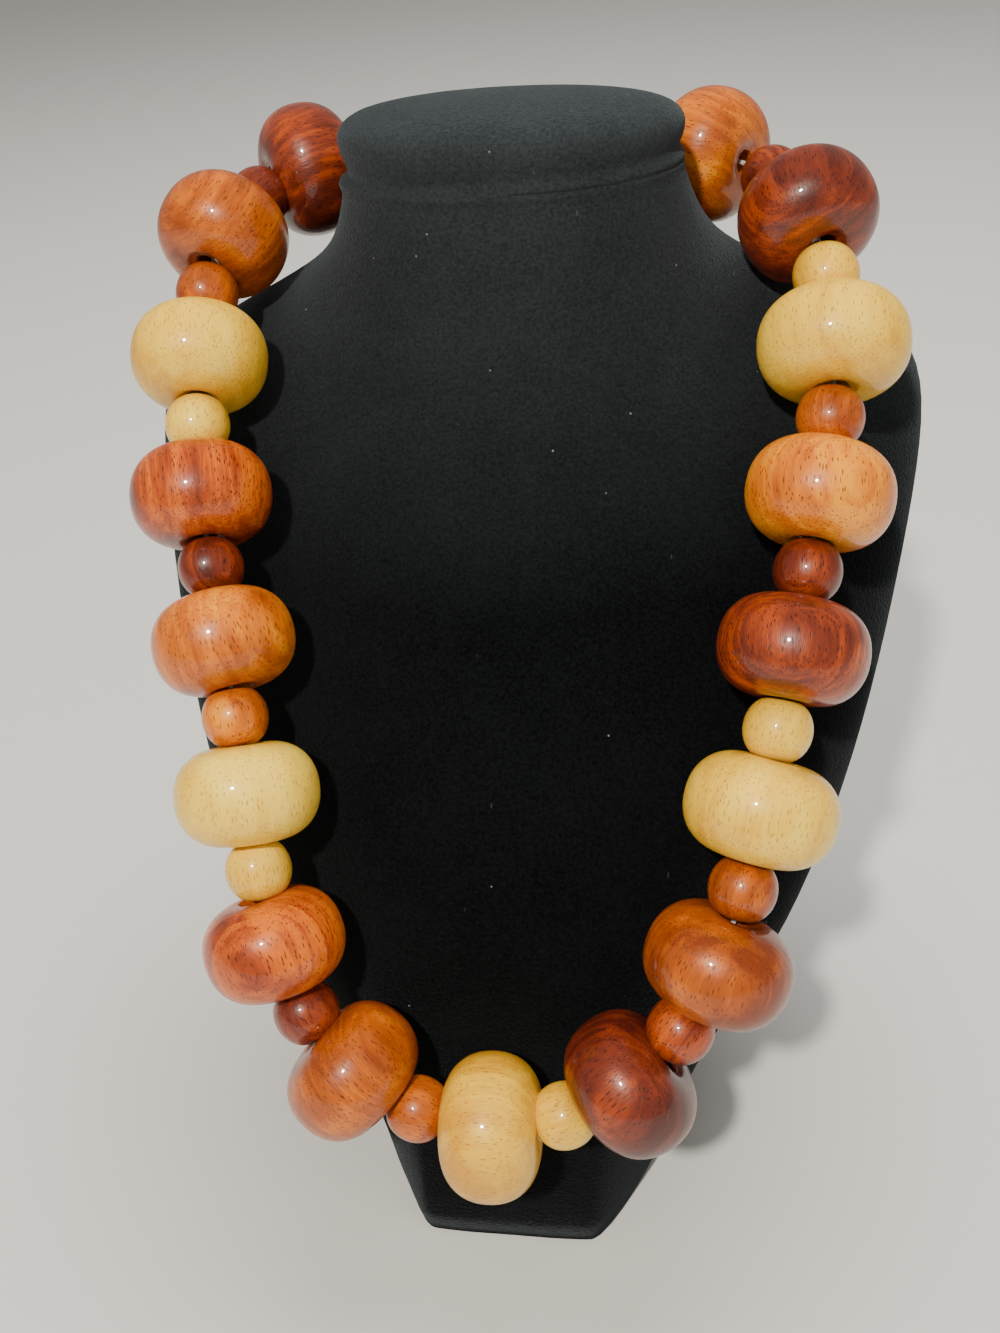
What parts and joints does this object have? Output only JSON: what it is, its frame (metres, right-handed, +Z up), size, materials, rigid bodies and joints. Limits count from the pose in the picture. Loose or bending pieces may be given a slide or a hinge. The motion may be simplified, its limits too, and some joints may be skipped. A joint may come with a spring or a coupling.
{
  "type": "beaded necklace on a neck bust",
  "caption": "Chunky necklace of polished wooden beads, large rondelles and small spacers strung in turn on elastic, resting on a black velvet display bust.",
  "frame": {"origin": "middle of the bounding box in X and Y, on the underside of the bust's foot", "axes": "+Z up, -Y the way the bust faces, +X to the right of someone looking at its front"},
  "size_m": [0.219, 0.2319, 0.2738],
  "materials": {
    "black_velvet": "short velvet pile over a hard form",
    "pale_wood": "clear gloss lacquer",
    "red_brown_wood": "clear gloss lacquer",
    "orange_wood": "clear gloss lacquer",
    "clear_elastic": "milky, half clear"
  },
  "bodies": {
    "root": {"neck_bust": "black_velvet", "elastic_cord": "clear_elastic", "cream_bead_01": "pale_wood", "cream_spacer_01": "pale_wood", "red_bead_02": "red_brown_wood", "red_spacer_02": "red_brown_wood", "orange_bead_03": "orange_wood", "orange_spacer_03": "orange_wood", "cream_bead_04": "pale_wood", "cream_spacer_04": "pale_wood", "red_bead_05": "red_brown_wood", "red_spacer_05": "red_brown_wood", "orange_bead_06": "orange_wood", "orange_spacer_06": "orange_wood", "cream_bead_07": "pale_wood", "cream_spacer_07": "pale_wood", "red_bead_08": "red_brown_wood", "red_spacer_08": "red_brown_wood", "orange_bead_09": "orange_wood", "orange_spacer_09": "orange_wood", "cream_bead_10": "pale_wood", "cream_spacer_10": "pale_wood", "red_bead_11": "red_brown_wood", "red_spacer_11": "red_brown_wood", "orange_bead_12": "orange_wood", "orange_spacer_12": "orange_wood", "cream_bead_13": "pale_wood", "cream_spacer_13": "pale_wood", "red_bead_14": "red_brown_wood", "red_spacer_14": "red_brown_wood", "orange_bead_15": "orange_wood", "orange_spacer_15": "orange_wood", "cream_bead_16": "pale_wood", "cream_spacer_16": "pale_wood", "red_bead_17": "red_brown_wood", "red_spacer_17": "red_brown_wood", "orange_bead_18": "orange_wood", "orange_spacer_18": "orange_wood"}
  },
  "joints": []
}
